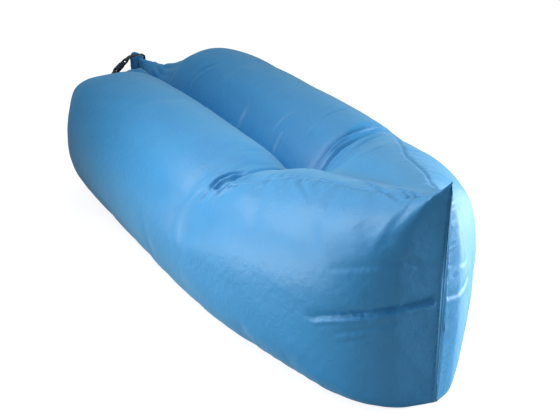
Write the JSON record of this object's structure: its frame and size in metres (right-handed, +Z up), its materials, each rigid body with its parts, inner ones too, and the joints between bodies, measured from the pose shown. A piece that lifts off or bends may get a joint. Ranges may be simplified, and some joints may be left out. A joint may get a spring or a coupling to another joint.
{
  "type": "inflatable air lounger",
  "caption": "Inflated fabric air lounger: long legs joined by a valley seam, a raised bow-shaped headrest and a rolled mouth bent round and held shut by a side-release buckle.",
  "frame": {"origin": "centre of the lounger's outline seen from above, on the floor", "axes": "+X from the rolled mouth at the foot to the upright seam of the head, -Y towards the leg that is nearer in the picture, +Z up"},
  "size_m": [2.1268, 0.8852, 0.6045],
  "materials": {
    "ripstop": "coated blue fabric with a satin sheen",
    "liner": "thin translucent air film",
    "webbing": "black ribbed webbing and tape",
    "plastic": "black moulded plastic with a fine grain",
    "stiffener": "plain pale plastic strip"
  },
  "bodies": {
    "lounger": {"near_leg_cover": "ripstop", "far_leg_cover": "ripstop", "headrest_panel": "ripstop", "neck_cover": "ripstop", "rolled_mouth": "ripstop", "stem_seam_binding": "ripstop", "near_air_liner": "liner", "far_air_liner": "liner", "neck_liner": "liner", "far_webbing": "webbing", "near_webbing": "webbing", "valley_seam_tape": "webbing", "under_seam_tape": "webbing", "buckle_male_frame": "plastic", "near_hem_stiffener": "stiffener", "far_hem_stiffener": "stiffener"},
    "buckle_socket": {"buckle_female_body": "plastic"},
    "head_side_latch": {"head_side_latch_arm": "plastic"},
    "foot_side_latch": {"foot_side_latch_arm": "plastic"}
  },
  "joints": [
    {"name": "buckle_release", "type": "slide", "parent": "lounger", "child": "buckle_socket", "axis": [0, -0.7705, -0.6374], "range_m": [0, 0.028], "deforming": ["near_webbing", "head_side_latch_arm", "foot_side_latch_arm"]},
    {"name": "head_side_squeeze", "type": "hinge", "parent": "lounger", "child": "head_side_latch", "pos_m": [-1.023, -0.04153, 0.31318], "axis": [0, 0.6374, -0.7705], "range_deg": [0, 7], "stiffness_Nm_per_rad": 0.2},
    {"name": "foot_side_squeeze", "type": "hinge", "parent": "lounger", "child": "foot_side_latch", "pos_m": [-1.043, -0.04153, 0.31318], "axis": [0, -0.6374, 0.7705], "range_deg": [0, 7], "stiffness_Nm_per_rad": 0.2}
  ]
}
